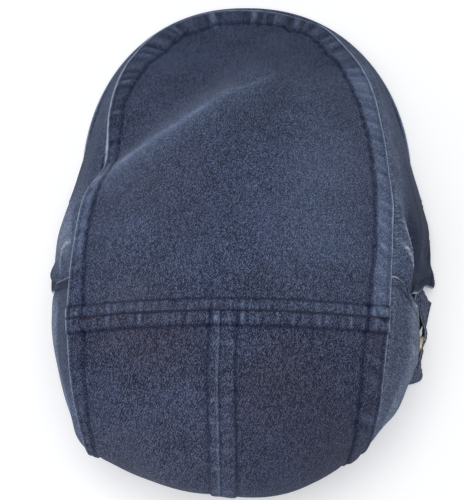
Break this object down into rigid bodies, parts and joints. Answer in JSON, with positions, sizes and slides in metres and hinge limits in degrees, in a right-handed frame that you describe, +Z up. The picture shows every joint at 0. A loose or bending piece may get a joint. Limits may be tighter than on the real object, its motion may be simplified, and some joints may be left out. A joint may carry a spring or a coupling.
{
  "type": "flat cap",
  "caption": "Soft denim flat cap: a long top panel runs forward over a stiff peak, side and back panels close the crown, and a ring joins the strap round the back.",
  "frame": {"origin": "on the resting plane, below the middle of the cap's outline", "axes": "+Z up; the peak points along -Y; -X is the wearer's right, where the strap's ring is"},
  "size_m": [0.1868, 0.264, 0.0907],
  "materials": {
    "denim": "washed dark blue denim twill",
    "denim_side": "washed dark blue denim twill",
    "strap": "washed dark blue denim twill",
    "ring": "warm nickel, satin"
  },
  "bodies": {
    "root": {"top_panel": "denim", "back_panel_right": "denim", "back_panel_left": "denim", "front_side_panel_right": "denim_side", "front_side_panel_left": "denim_side", "rear_side_panel_right": "denim_side", "rear_side_panel_left": "denim_side", "peak": "denim", "strap": "strap", "strap_tab": "strap", "strap_ring": "ring"}
  },
  "joints": []
}
